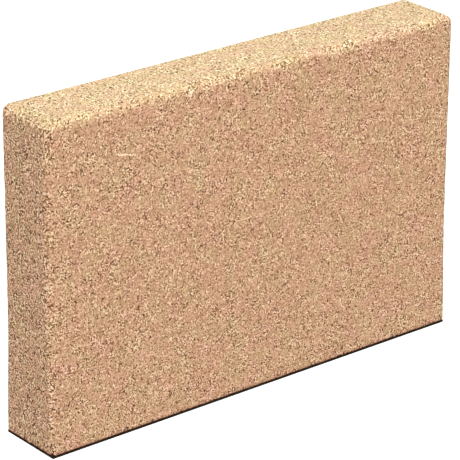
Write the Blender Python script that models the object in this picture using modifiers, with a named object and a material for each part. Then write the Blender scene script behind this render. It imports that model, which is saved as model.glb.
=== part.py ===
"""Cork sanding block: one moulded piece of fine-grain agglomerated cork, standing on a long narrow side.

X runs along the length, Y through the thickness and Z up the width of the soles.
The origin is at the middle of the side that the block stands on.
"""

import math

import bmesh
import bpy

# Driving dimensions, in metres.
LENGTH = 0.120
THICKNESS = 0.018
WIDTH = 0.080  # across each sole, upright in this pose

EDGE_RADIUS = 0.0022  # the softened edges that a hand holds
BASE_EDGE_RADIUS = 0.0004  # the edges round the base are left almost square
EDGE_SEGMENTS = 8
BASE_EDGE_SEGMENTS = 3
SQUARE_EDGE_ANGLE = math.radians(60)

CORK_COLOUR = (0.610, 0.376, 0.228, 1.0)  # linear RGB
CORK_ROUGHNESS = 0.88

COLLECTION_NAME = "cork_sanding_block"


def clear_scene():
    for obj in list(bpy.data.objects):
        bpy.data.objects.remove(obj, do_unlink=True)


def new_collection(name):
    collection = bpy.data.collections.new(name)
    bpy.context.scene.collection.children.link(collection)
    return collection


def principled_material(name, colour, roughness, metallic=0.0):
    material = bpy.data.materials.new(name)
    material.use_nodes = True
    shader = material.node_tree.nodes["Principled BSDF"]
    shader.inputs["Base Color"].default_value = colour
    shader.inputs["Roughness"].default_value = roughness
    shader.inputs["Metallic"].default_value = metallic
    material.diffuse_color = colour
    return material


def block_mesh(name):
    """A cuboid on the floor whose edges, all but the four of its base, are marked to be rounded."""
    cuboid = bmesh.new()
    bmesh.ops.create_cube(cuboid, size=1.0)
    bmesh.ops.scale(cuboid, vec=(LENGTH, THICKNESS, WIDTH), verts=cuboid.verts)
    bmesh.ops.translate(cuboid, vec=(0.0, 0.0, WIDTH / 2), verts=cuboid.verts)
    rounded = cuboid.edges.layers.float.new("bevel_weight_edge")
    for edge in cuboid.edges:
        in_base = all(vertex.co.z < WIDTH / 2 for vertex in edge.verts)
        edge[rounded] = 0.0 if in_base else 1.0
    mesh = bpy.data.meshes.new(name)
    cuboid.to_mesh(mesh)
    cuboid.free()
    return mesh


def add_bevel(obj, name, width, segments):
    bevel = obj.modifiers.new(name, "BEVEL")
    bevel.width = width
    bevel.segments = segments
    bevel.use_clamp_overlap = False
    return bevel


def cork_block(collection):
    block = bpy.data.objects.new("cork_block", block_mesh("cork_block"))
    collection.objects.link(block)
    add_bevel(block, "held_edges", EDGE_RADIUS, EDGE_SEGMENTS).limit_method = "WEIGHT"
    # The loop round the base holds the only edges that are still square.
    base_edges = add_bevel(block, "base_edges", BASE_EDGE_RADIUS, BASE_EDGE_SEGMENTS)
    base_edges.limit_method = "ANGLE"
    base_edges.angle_limit = SQUARE_EDGE_ANGLE
    block.data.materials.append(principled_material("cork", CORK_COLOUR, CORK_ROUGHNESS))
    block.data.shade_smooth()
    return block


def main():
    clear_scene()
    cork_block(new_collection(COLLECTION_NAME))


main()
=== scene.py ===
"""Looks of the cork sanding block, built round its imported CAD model.

One piece of agglomerated cork: crumbs of bark pressed and glued into a block. A close lattice takes the
shape of the CAD block, geometry nodes press the crumbs' relief into it, and the material repeats the same
crumbs in colour.
"""

import math

import bpy
import numpy as np
from mathutils import Matrix, Vector


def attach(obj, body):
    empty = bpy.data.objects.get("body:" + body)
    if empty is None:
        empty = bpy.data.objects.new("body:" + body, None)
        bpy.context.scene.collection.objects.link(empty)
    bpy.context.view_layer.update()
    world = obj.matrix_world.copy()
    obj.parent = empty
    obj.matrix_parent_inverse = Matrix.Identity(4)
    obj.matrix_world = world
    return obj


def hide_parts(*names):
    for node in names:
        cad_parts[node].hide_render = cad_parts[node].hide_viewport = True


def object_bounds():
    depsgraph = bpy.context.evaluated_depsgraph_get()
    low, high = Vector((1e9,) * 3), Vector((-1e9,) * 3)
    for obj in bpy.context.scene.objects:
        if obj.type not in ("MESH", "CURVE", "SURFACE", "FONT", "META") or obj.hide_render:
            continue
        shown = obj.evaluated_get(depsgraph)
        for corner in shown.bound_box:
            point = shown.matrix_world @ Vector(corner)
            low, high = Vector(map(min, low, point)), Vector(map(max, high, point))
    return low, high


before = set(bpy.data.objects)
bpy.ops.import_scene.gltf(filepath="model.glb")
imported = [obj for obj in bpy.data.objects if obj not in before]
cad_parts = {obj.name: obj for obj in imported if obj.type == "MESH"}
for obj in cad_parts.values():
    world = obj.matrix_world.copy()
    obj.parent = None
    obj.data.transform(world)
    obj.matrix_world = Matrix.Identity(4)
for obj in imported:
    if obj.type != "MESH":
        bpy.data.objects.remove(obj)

CAD_LOW, CAD_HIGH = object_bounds()
MM = 0.001

# The block's radii are the CAD model's, except that its upright edges get slowly crisper towards the base:
# from EDGE_RADIUS at FOOT_HEIGHT above it to FOOT_RADIUS.
EDGE_RADIUS = 2.2 * MM
FOOT_RADIUS = 0.8 * MM
FOOT_HEIGHT = 30.0 * MM
BASE_EDGE_RADIUS = 0.4 * MM
LATTICE_SPACING = 0.515 * MM

# The block stands this far above the bright floor, on a plate as dark as the gap under a real block.
FLOOR_GAP = 0.55 * MM

# Where the camera stands, as seen from the middle of the block, and its lens.
CAMERA_AZIMUTH = math.radians(-39.15)
CAMERA_ELEVATION = math.radians(22.89)
CAMERA_ROLL = math.radians(0.35)
CAMERA_DISTANCE = 0.6752
CAMERA_SIDESTEP = -0.00128
CAMERA_DROP = -0.00281
LENS_MM = 225.8
SENSOR_MM = 36.0


# ---------------------------------------------------------------- the block's mesh


def lattice_sides(counts):
    """The surface of a cuboid of counts cells: its points as whole numbers, and its quads, facing out."""
    clockwise = ((0, 0), (0, 1), (1, 1), (1, 0))
    anticlockwise = ((0, 0), (1, 0), (1, 1), (0, 1))
    sides = []
    for axis in range(3):
        u, v = (axis + 1) % 3, (axis + 2) % 3
        cells = np.stack(np.meshgrid(np.arange(counts[u]), np.arange(counts[v])), axis=-1).reshape(-1, 2)
        for level, ring in ((0, clockwise), (counts[axis], anticlockwise)):
            quads = np.empty((len(cells), 4, 3), int)
            quads[:, :, axis] = level
            for corner, (step_u, step_v) in enumerate(ring):
                quads[:, corner, u] = cells[:, 0] + step_u
                quads[:, corner, v] = cells[:, 1] + step_v
            sides.append(quads)
    corners = np.concatenate(sides).reshape(-1, 3)
    points, index = np.unique(corners, axis=0, return_inverse=True)
    return points, index.reshape(-1, 4)


def bend_round(points, inner_half):
    """Pulls what lies past inner_half from the centre onto a quarter round."""
    past = np.maximum(np.abs(points) - inner_half, 0.0)
    reach = past.max(axis=1, keepdims=True)
    length = np.maximum(np.linalg.norm(past, axis=1, keepdims=True), 1e-12)
    return np.sign(points) * (np.minimum(np.abs(points), inner_half) + past * reach / length)


def block_mesh(name):
    low, high = np.array(CAD_LOW), np.array(CAD_HIGH)
    centre, half = (low + high) / 2, (high - low) / 2
    counts = np.round(2 * half / LATTICE_SPACING).astype(int)
    points, quads = lattice_sides(counts)
    points = (points / counts * 2 - 1) * half
    lower = points[:, 2] < 0
    rounded = bend_round(points, half - EDGE_RADIUS)
    rounded[lower] = turn_under(points[lower], half)
    mesh = bpy.data.meshes.new(name)
    mesh.from_pydata((rounded + centre).tolist(), [], quads.tolist())
    mesh.validate()
    mesh.shade_smooth()
    return mesh


def turn_under(points, half):
    """The lower half: upright edges that get crisper towards the base, and a small round under the walls."""
    rise = points[:, 2] + half[2]
    share = np.clip(rise / FOOT_HEIGHT, 0, 1)[:, None]
    radius = FOOT_RADIUS + (EDGE_RADIUS - FOOT_RADIUS) * share**2 * (3 - 2 * share)
    plan = bend_round(points[:, :2], half[:2] - radius)
    # Rings of the base shrink in proportion, so the wall's own ring is the outermost.
    past = np.maximum(np.abs(plan) - (half[:2] - radius), 0.0)
    length = np.linalg.norm(past, axis=1, keepdims=True)
    outward = np.sign(plan) * past / np.maximum(length, 1e-12)
    across = np.maximum(BASE_EDGE_RADIUS - (radius - length), 0.0)
    under = np.maximum(BASE_EDGE_RADIUS - rise, 0.0)[:, None]
    scale = np.maximum(across, under) / np.maximum(np.hypot(across, under), 1e-12)
    plan -= outward * across * (1 - scale)
    return np.column_stack([plan, points[:, 2] + (under * (1 - scale))[:, 0]])


# ---------------------------------------------------------------- node helpers, for both kinds of tree


def add(tree, kind, inputs=(), **settings):
    """A new node with settings, and inputs by name or place: a socket is linked and a value is set."""
    node = tree.nodes.new(kind)
    for key, value in settings.items():
        setattr(node, key, value)
    for key, value in dict(inputs).items():
        socket = node.inputs[key]
        if isinstance(value, bpy.types.NodeSocket):
            tree.links.new(value, socket)
        else:
            socket.default_value = value
    return node


def math_of(tree, operation, *values):
    return add(tree, "ShaderNodeMath", enumerate(values), operation=operation).outputs[0]


def vector_of(tree, operation, first, second):
    inputs = {0: first, "Scale" if operation == "SCALE" else 1: second}
    return add(tree, "ShaderNodeVectorMath", inputs, operation=operation).outputs[0]


def noise(tree, place, scale, detail, output=0):
    inputs = {"Vector": place, "Scale": scale, "Detail": detail}
    return add(tree, "ShaderNodeTexNoise", inputs).outputs[output]


def voronoi(tree, place, scale, feature="F1"):
    return add(tree, "ShaderNodeTexVoronoi", {"Vector": place, "Scale": scale}, feature=feature)


def ramp_between(tree, value, start, end, low=0.0, high=1.0):
    inputs = {"Value": value, "From Min": start, "From Max": end, "To Min": low, "To Max": high}
    return add(tree, "ShaderNodeMapRange", inputs, clamp=True).outputs[0]


def first_channel(tree, colour):
    kind = "FunctionNodeSeparateColor" if tree.type == "GEOMETRY" else "ShaderNodeSeparateColor"
    return add(tree, kind, {0: colour}).outputs[0]


def mixed(tree, factor, first, second, blend="MIX"):
    node = add(tree, "ShaderNodeMix", data_type="RGBA", blend_type=blend)
    for place, value in ((0, factor), (6, first), (7, second)):
        if isinstance(value, bpy.types.NodeSocket):
            tree.links.new(value, node.inputs[place])
        else:
            node.inputs[place].default_value = value
    return node.outputs[2]


# ---------------------------------------------------------------- the crumbs, shared by relief and colour

# Cells per millimetre of the three sizes of crumb, and of the dark specks of bark.
LARGE_CRUMBS = 0.85
SMALL_CRUMBS = 1.5
FINE_CRUMBS = 3.3
SPECKS = 2.0

# A noise of this many waves per millimetre wanders the crumbs' outlines about, over this many millimetres.
WANDER_WAVES = 1.1
WANDER_MM = 0.6


def crumbs(tree, place):
    """Fields of the cork at a place in mm: random numbers per crumb, distances, the wandered place."""
    wander = vector_of(tree, "SUBTRACT", noise(tree, place, WANDER_WAVES, 1.0, output=1), (0.5, 0.5, 0.5))
    place = vector_of(tree, "ADD", place, vector_of(tree, "SCALE", wander, WANDER_MM))
    large = voronoi(tree, place, LARGE_CRUMBS)
    small = voronoi(tree, place, SMALL_CRUMBS)
    fine = voronoi(tree, place, FINE_CRUMBS)
    seams = voronoi(tree, place, LARGE_CRUMBS, feature="DISTANCE_TO_EDGE")
    return {
        "large": first_channel(tree, large.outputs["Color"]),
        "small": first_channel(tree, small.outputs["Color"]),
        "small_distance": small.outputs["Distance"],
        "fine": first_channel(tree, fine.outputs["Color"]),
        "seam": seams.outputs["Distance"],
        "place": place,
    }


# ---------------------------------------------------------------- relief


# Depth of the deepest groove, and its shares: the step of a large crumb, the groove between, a small crumb.
RELIEF_MM = 0.12
STEP_SHARE, GROOVE_SHARE, CRUMB_SHARE = 0.45, 0.35, 0.2
GROOVE_REACH = 0.22


def relief_tree():
    tree = bpy.data.node_groups.new("cork_relief", "GeometryNodeTree")
    tree.interface.new_socket("Geometry", in_out="INPUT", socket_type="NodeSocketGeometry")
    tree.interface.new_socket("Geometry", in_out="OUTPUT", socket_type="NodeSocketGeometry")
    entry, exit_node = tree.nodes.new("NodeGroupInput"), tree.nodes.new("NodeGroupOutput")
    position = tree.nodes.new("GeometryNodeInputPosition").outputs[0]
    normal = tree.nodes.new("GeometryNodeInputNormal").outputs[0]
    field = crumbs(tree, vector_of(tree, "SCALE", position, 1 / MM))
    step = ramp_between(tree, field["large"], 0.0, 1.0, 0.0, STEP_SHARE)
    groove = ramp_between(tree, field["seam"], 0.0, GROOVE_REACH, GROOVE_SHARE, 0.0)
    crumb = ramp_between(tree, field["small"], 0.0, 1.0, 0.0, CRUMB_SHARE)
    depth = math_of(tree, "ADD", math_of(tree, "ADD", step, groove), crumb)
    offset = vector_of(tree, "SCALE", normal, math_of(tree, "MULTIPLY", depth, -RELIEF_MM * MM))
    moved = add(tree, "GeometryNodeSetPosition", {"Geometry": entry.outputs[0], "Offset": offset})
    tree.links.new(moved.outputs[0], exit_node.inputs[0])
    return tree


def pressed(mesh):
    """The mesh with the crumbs' relief pressed into it, only inwards, so the block keeps its size."""
    carrier = bpy.data.objects.new("relief_carrier", mesh)
    bpy.context.scene.collection.objects.link(carrier)
    modifier = carrier.modifiers.new("relief", "NODES")
    modifier.node_group = relief_tree()
    graph = bpy.context.evaluated_depsgraph_get()
    result = bpy.data.meshes.new_from_object(carrier.evaluated_get(graph))
    bpy.data.objects.remove(carrier)
    return result


# ---------------------------------------------------------------- material

# Screen colour of the cork's middle tone, out of 255, and the range of the crumbs' tones round it.
CORK_SHADE = (207, 163, 129)
DARKEST, PALEST = -150, 60
TONE_STEPS = 9
LEAST_CHANNEL = 0.004

# How far each size of crumb swings from the middle tone, and the grit between them.
LARGE_SWING = 4
SMALL_SWING = 8
FINE_SWING = 25
GRIT_SWING = 94
GRIT_WAVES = 2.7

# Tone of the specks, the hearts of bark, the pale crumbs and the seams, and where they are: by a cell's
# random number, and by the distance from its middle or its seam, in cells. A spot is absent at the first
# value of a pair and full at the second.
SPECK_DEPTH, SPECK_NUMBERS, SPECK_REACH = -170, (0.72, 0.73), (0.38, 0.27)
BARK_DEPTH, BARK_NUMBERS, BARK_REACH = -130, (0.965, 0.97), (0.36, 0.24)
PALE_LIFT, PALE_NUMBERS, PALE_REACH = 30, (0.06, 0.05), (0.62, 0.42)
SEAM_DEPTH, SEAM_REACH = -60, (0.09, 0.02)

# A noise breaks the seams up: none at the first value, full at the second.
BREAK_WAVES = 0.9
BREAK_RANGE = (0.5, 0.6)

# Contrast of the smoothest and the grittiest patches, and of the smoothest and the grittiest large crumbs,
# with the values of their fields where they are reached.
PATCH_WAVES = 0.3
PATCH_RANGE, PATCH_CONTRAST = (0.35, 0.65), (0.75, 1.25)
CRUMB_RANGE, CRUMB_CONTRAST = (0.3, 0.7), (0.6, 1.4)

# Patches a few millimetres wide lean to pink at the first value of their noise, and to olive at the second.
LEAN_WAVES = 0.2
LEAN_RANGE = (0.3, 0.7)
PINK_LEAN = (1.0, 0.93, 0.95, 1.0)
OLIVE_LEAN = (0.95, 1.0, 0.90, 1.0)

# Roughness of the smoothest and the roughest crumbs, and what each field adds to the height of the bump.
ROUGHNESS_RANGE = (0.74, 0.95)
SPECULAR = 0.3
SMALL_BUMP, FINE_BUMP, GRIT_BUMP, SPECK_BUMP, BARK_BUMP = 0.35, 0.45, 0.8, -0.8, -1.0
SEAM_BUMP, SEAM_BUMP_REACH = 0.4, 0.12
BUMP_STRENGTH = 0.5
BUMP_MM = 0.12

# The few single marks on the front face, in mm: where along and up it, length, slant in degrees, width, tone.
# A mark is full within the first share of its width from its middle line, and gone past the second.
MARK_FADE = (0.3, 0.7)
MARKS = (
    (-38.5, 68.0, 5.5, -15, 0.4, 70),  # a pale shaving
    (-21.5, 76.0, 2.0, -55, 0.3, 60),  # a pale curl, near the top
    (-53.0, 36.5, 0.7, -40, 0.35, -130),  # two chips of bark
    (-53.5, 35.5, 1.4, -40, 0.3, -100),
    (-55.0, 12.0, 3.4, 50, 0.2, -75),  # a hairline crack
)

# The narrow ends get more contrast in grit, specks, bark and seams, as painted shade of the crumbs' relief
# where the light grazes the ends. The contrast starts to grow at the first depth from the end, and is full at
# the second.
END_SHADE_CONTRAST = 1.6
END_SHADE_DEPTHS_MM = (0.9, 0.4)


def linear(shade):
    """Scene colour, with alpha, of a screen colour out of 255."""
    channels = [min(max(value / 255, LEAST_CHANNEL), 1.0) for value in shade]
    return (*(v / 12.92 if v <= 0.04045 else ((v + 0.055) / 1.055) ** 2.4 for v in channels), 1.0)


def tone_ramp(tree, offset):
    """Cork colour at an offset from its middle tone, in steps of a 255-step screen."""
    ramp = add(tree, "ShaderNodeValToRGB", {0: ramp_between(tree, offset, DARKEST, PALEST)})
    elements = ramp.color_ramp.elements
    while len(elements) < TONE_STEPS:
        elements.new(0.5)
    for place, element in enumerate(elements):
        element.position = place / (TONE_STEPS - 1)
        shift = DARKEST + (PALEST - DARKEST) * element.position
        element.color = linear([value + shift for value in CORK_SHADE])
    return ramp.outputs[0]


def swing(tree, value, amount):
    """A field from 0 to 1 turned into an offset from -amount to amount."""
    return ramp_between(tree, value, 0.0, 1.0, -amount, amount)


def total(tree, values):
    result = values[0]
    for value in values[1:]:
        result = math_of(tree, "ADD", result, value)
    return result


def mark_on_front(tree, place, along, up, length, slant, width, tone):
    """Tone offset that one short straight mark on the front face gives to a place in millimetres."""
    local = vector_of(tree, "SUBTRACT", place, (along, CAD_LOW[1] / MM, up))
    turn = {"Vector": local, "Angle": math.radians(slant)}
    turned = add(tree, "ShaderNodeVectorRotate", turn, rotation_type="Y_AXIS")
    parts = add(tree, "ShaderNodeSeparateXYZ", {0: turned.outputs[0]})
    past_end = math_of(tree, "SUBTRACT", math_of(tree, "ABSOLUTE", parts.outputs["X"]), length / 2)
    past_end = math_of(tree, "MAXIMUM", past_end, 0.0)
    away = add(tree, "ShaderNodeCombineXYZ", {0: past_end, 1: parts.outputs["Y"], 2: parts.outputs["Z"]})
    distance = add(tree, "ShaderNodeVectorMath", {0: away.outputs[0]}, operation="LENGTH").outputs["Value"]
    full, gone = (share * width for share in MARK_FADE)
    return ramp_between(tree, distance, full, gone, tone, 0.0)


def end_shade_contrast(tree, place):
    """1 on the long faces, and END_SHADE_CONTRAST on the two ends."""
    # The ends' extra contrast is painted shade of the crumbs' relief under grazing light.
    parts = add(tree, "ShaderNodeSeparateXYZ", {0: place})
    along = math_of(tree, "ABSOLUTE", parts.outputs["X"])
    start, full = (CAD_HIGH[0] / MM - depth for depth in END_SHADE_DEPTHS_MM)
    return ramp_between(tree, along, start, full, 1.0, END_SHADE_CONTRAST)


def spot(tree, number, distance, numbers, reach):
    """1 in the middle of the cells whose random number is chosen, and 0 elsewhere."""
    chosen = ramp_between(tree, number, *numbers)
    return math_of(tree, "MULTIPLY", chosen, ramp_between(tree, distance, *reach))


def contrast_of(tree, place, field):
    """Some patches and some crumbs are smooth, others are full of grit, and the two ends have the most, as
    painted shade.
    """
    patchy = ramp_between(tree, noise(tree, place, PATCH_WAVES, 1.0), *PATCH_RANGE, *PATCH_CONTRAST)
    gritty = ramp_between(tree, field["large"], *CRUMB_RANGE, *CRUMB_CONTRAST)
    return math_of(tree, "MULTIPLY", math_of(tree, "MULTIPLY", patchy, gritty), end_shade_contrast(tree, place))


def leaning(tree, place, colour):
    """The colour, leaning to pink in some patches and to olive in others."""
    lean = add(tree, "ShaderNodeValToRGB", {0: noise(tree, place, LEAN_WAVES, 1.0)})
    for element, position, tint in zip(lean.color_ramp.elements, LEAN_RANGE, (PINK_LEAN, OLIVE_LEAN)):
        element.position = position
        element.color = tint
    return mixed(tree, 1.0, colour, lean.outputs[0], "MULTIPLY")


def cork_material():
    material = bpy.data.materials.new("agglomerated_cork")
    material.use_nodes = True
    tree = material.node_tree
    shader = tree.nodes["Principled BSDF"]
    place = vector_of(tree, "SCALE", tree.nodes.new("ShaderNodeTexCoord").outputs["Object"], 1 / MM)
    field = crumbs(tree, place)
    grit = noise(tree, place, GRIT_WAVES, 0.0)

    # Dark bits of bark, some single and some filling the heart of a crumb, and the odd pale crumb.
    specks = voronoi(tree, field["place"], SPECKS)
    number = first_channel(tree, specks.outputs["Color"])
    speck = spot(tree, number, specks.outputs["Distance"], SPECK_NUMBERS, SPECK_REACH)
    bark = spot(tree, field["small"], field["small_distance"], BARK_NUMBERS, BARK_REACH)
    pale = spot(tree, field["small"], field["small_distance"], PALE_NUMBERS, PALE_REACH)
    # Glue and shadow in the seams between crumbs, broken up so that only some of them show.
    broken = noise(tree, place, BREAK_WAVES, 2.0)
    seam = spot(tree, broken, field["seam"], BREAK_RANGE, SEAM_REACH)

    sharp = total(tree, [
        swing(tree, field["fine"], FINE_SWING),
        swing(tree, grit, GRIT_SWING),
        math_of(tree, "MULTIPLY", speck, SPECK_DEPTH),
        math_of(tree, "MULTIPLY", bark, BARK_DEPTH),
        math_of(tree, "MULTIPLY", seam, SEAM_DEPTH),
    ])
    offset = total(tree, [
        math_of(tree, "MULTIPLY", sharp, contrast_of(tree, place, field)),
        swing(tree, field["large"], LARGE_SWING),
        swing(tree, field["small"], SMALL_SWING),
        math_of(tree, "MULTIPLY", pale, PALE_LIFT),
        *(mark_on_front(tree, field["place"], *mark) for mark in MARKS),
    ])
    tree.links.new(leaning(tree, place, tone_ramp(tree, offset)), shader.inputs["Base Color"])
    rough = ramp_between(tree, field["small"], 0.0, 1.0, *ROUGHNESS_RANGE)
    tree.links.new(rough, shader.inputs["Roughness"])
    shader.inputs["Specular IOR Level"].default_value = SPECULAR

    height = total(tree, [
        math_of(tree, "MULTIPLY", field["small"], SMALL_BUMP),
        math_of(tree, "MULTIPLY", field["fine"], FINE_BUMP),
        math_of(tree, "MULTIPLY", grit, GRIT_BUMP),
        ramp_between(tree, field["seam"], 0.0, SEAM_BUMP_REACH, 0.0, SEAM_BUMP),
        math_of(tree, "MULTIPLY", speck, SPECK_BUMP),
        math_of(tree, "MULTIPLY", bark, BARK_BUMP),
    ])
    inputs = {"Height": height, "Strength": BUMP_STRENGTH, "Distance": BUMP_MM * MM}
    bump = add(tree, "ShaderNodeBump", inputs)
    tree.links.new(bump.outputs[0], shader.inputs["Normal"])
    return material


# ---------------------------------------------------------------- stage

# Light from the upper world, from the floor, and from the key lamp above the front left.
WORLD_LIGHT = (0.80, 1.10, 1.07)
FLOOR_LIGHT = (0.66, 0.39, 0.44)
KEY_COLOUR = (1.0, 1.0, 1.0)
KEY_WATTS = 14.0
KEY_PLACE = (-0.31, -0.57, 1.2)
KEY_AIM = (0.0, 0.0, 0.04)
KEY_SIZE = 0.5

# What the camera sees of the floor: its own glow, and the share of the light on it that it sends back.
FLOOR_GLOW = 0.55
FLOOR_DIFFUSE = 0.6
FLOOR_SIZE = 6.0

# The plate of contact shade under the block: how far inside its outline it stays, and its colour.
PLATE_INSET = 0.2 * MM
PLATE_COLOUR = (0.03, 0.017, 0.009, 1.0)


def emission(tree, colour):
    return add(tree, "ShaderNodeEmission", {"Color": (*colour, 1.0)}).outputs[0]


def floor_material():
    """Seen directly it is a lit white table, and as a source of light on the block it is a dimmer one."""
    material = bpy.data.materials.new("pale_floor")
    material.use_nodes = True
    tree = material.node_tree
    tree.nodes.clear()
    table = add(tree, "ShaderNodeBsdfDiffuse", {"Color": (FLOOR_DIFFUSE,) * 3 + (1.0,)}).outputs[0]
    seen = add(tree, "ShaderNodeAddShader", {0: table, 1: emission(tree, (FLOOR_GLOW,) * 3)}).outputs[0]
    direct = tree.nodes.new("ShaderNodeLightPath").outputs["Is Camera Ray"]
    chosen = add(tree, "ShaderNodeMixShader", {0: direct, 1: emission(tree, FLOOR_LIGHT), 2: seen}).outputs[0]
    tree.links.new(chosen, tree.nodes.new("ShaderNodeOutputMaterial").inputs["Surface"])
    return material


def make_floor():
    bpy.ops.mesh.primitive_grid_add(x_subdivisions=4, y_subdivisions=4, size=FLOOR_SIZE)
    floor = bpy.context.object
    floor.name = "floor"
    floor.location.z = CAD_LOW[2] - FLOOR_GAP
    floor.data.materials.append(floor_material())


def make_contact_plate():
    """The line of deep shade under the block, which a floor this bright would otherwise wash out."""
    size = CAD_HIGH - CAD_LOW
    centre = (CAD_LOW + CAD_HIGH) / 2
    bpy.ops.mesh.primitive_cube_add(size=1.0)
    plate = bpy.context.object
    plate.name = "contact_plate"
    plate.dimensions = (size[0] - 2 * PLATE_INSET, size[1] - 2 * PLATE_INSET, FLOOR_GAP)
    plate.location = (centre[0], centre[1], CAD_LOW[2] - FLOOR_GAP / 2)
    material = bpy.data.materials.new("deep_shade")
    material.use_nodes = True
    shader = material.node_tree.nodes["Principled BSDF"]
    shader.inputs["Base Color"].default_value = PLATE_COLOUR
    shader.inputs["Roughness"].default_value = 1.0
    shader.inputs["Specular IOR Level"].default_value = 0.0
    plate.data.materials.append(material)


def area_light(name, place, target, size, watts, colour):
    data = bpy.data.lights.new(name, "AREA")
    data.shape = "DISK"
    data.size = size
    data.energy = watts
    data.color = colour
    light = bpy.data.objects.new(name, data)
    light.location = place
    light.rotation_euler = (Vector(target) - Vector(place)).to_track_quat("-Z", "Y").to_euler()
    bpy.context.scene.collection.objects.link(light)


def make_world():
    world = bpy.data.worlds.new("studio")
    world.use_nodes = True
    tree = world.node_tree
    background = tree.nodes["Background"]
    background.inputs["Strength"].default_value = 1.0
    seen = tree.nodes.new("ShaderNodeLightPath").outputs["Is Camera Ray"]
    tree.links.new(mixed(tree, seen, (*WORLD_LIGHT, 1.0), (1.0, 1.0, 1.0, 1.0)), background.inputs["Color"])
    bpy.context.scene.world = world


def make_camera():
    data = bpy.data.cameras.new("camera")
    data.lens = LENS_MM
    data.sensor_width = SENSOR_MM
    data.clip_start = 0.01
    data.clip_end = 20.0
    camera = bpy.data.objects.new("camera", data)
    centre = (CAD_LOW + CAD_HIGH) / 2
    azimuth, elevation = CAMERA_AZIMUTH, CAMERA_ELEVATION
    level_back = Vector((math.sin(azimuth), -math.cos(azimuth), 0.0))
    back = level_back * math.cos(elevation) + Vector((0.0, 0.0, math.sin(elevation)))
    right = Vector((math.cos(azimuth), math.sin(azimuth), 0.0))
    up = back.cross(right)
    axes = Matrix((right, up, back)).transposed() @ Matrix.Rotation(CAMERA_ROLL, 3, "Z")
    place = centre + back * CAMERA_DISTANCE + right * CAMERA_SIDESTEP + up * CAMERA_DROP
    camera.matrix_world = Matrix.Translation(place) @ axes.to_4x4()
    bpy.context.scene.collection.objects.link(camera)
    bpy.context.scene.camera = camera


def make_block():
    block = bpy.data.objects.new("cork_body", pressed(block_mesh("cork_body")))
    bpy.context.scene.collection.objects.link(block)
    block.data.materials.clear()
    block.data.materials.append(cork_material())
    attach(block, "root")
    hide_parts("cork_block")


make_block()
make_floor()
make_contact_plate()
make_world()
area_light("key", KEY_PLACE, KEY_AIM, KEY_SIZE, KEY_WATTS, KEY_COLOUR)
make_camera()
bpy.context.scene.view_settings.view_transform = "Standard"
